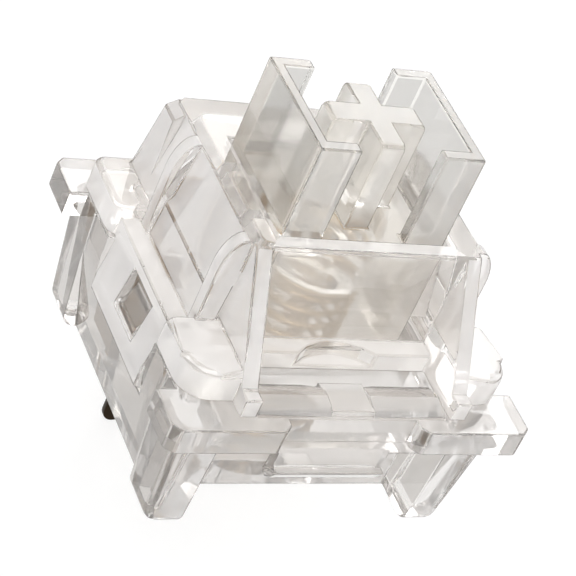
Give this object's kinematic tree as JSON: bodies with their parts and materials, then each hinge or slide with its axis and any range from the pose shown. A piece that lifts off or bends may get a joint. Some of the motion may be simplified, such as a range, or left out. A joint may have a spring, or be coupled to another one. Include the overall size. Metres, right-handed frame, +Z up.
{
  "type": "mechanical keyboard switch",
  "caption": "Clear plate-mounted keyboard switch: snap-together housing, sprung stem with a cross inside a dust shroud, leaf contacts with board pins.",
  "frame": {"origin": "centre of the flange in plan, at the height of the tips of the contact pins", "axes": "+Z up along the stem to the keycap, +Y to the side of the contact pins, -Y to the light recess"},
  "size_m": [0.0156, 0.0156, 0.0188],
  "materials": {
    "bottom_housing": "clear polycarbonate",
    "top_housing": "clear polycarbonate",
    "stem": "clear plastic with a warm tint",
    "return_spring": "drawn spring wire",
    "moving_contact": "stamped bronze sheet",
    "fixed_contact": "stamped bronze sheet",
    "contact_points": "gold alloy"
  },
  "bodies": {
    "housing": {"bottom_housing": "bottom_housing", "top_housing": "top_housing", "return_spring": "return_spring", "moving_contact": "moving_contact", "fixed_contact": "fixed_contact", "moving_contact_point": "contact_points", "fixed_contact_point": "contact_points"},
    "stem_body": {"stem": "stem"}
  },
  "joints": [
    {"name": "stem_press", "type": "slide", "parent": "housing", "child": "stem_body", "axis": [0, 0, -1], "range_m": [0, 0.004], "stiffness_N_per_m": 75, "springref_m": -0.0045, "deforming": ["return_spring"]}
  ]
}
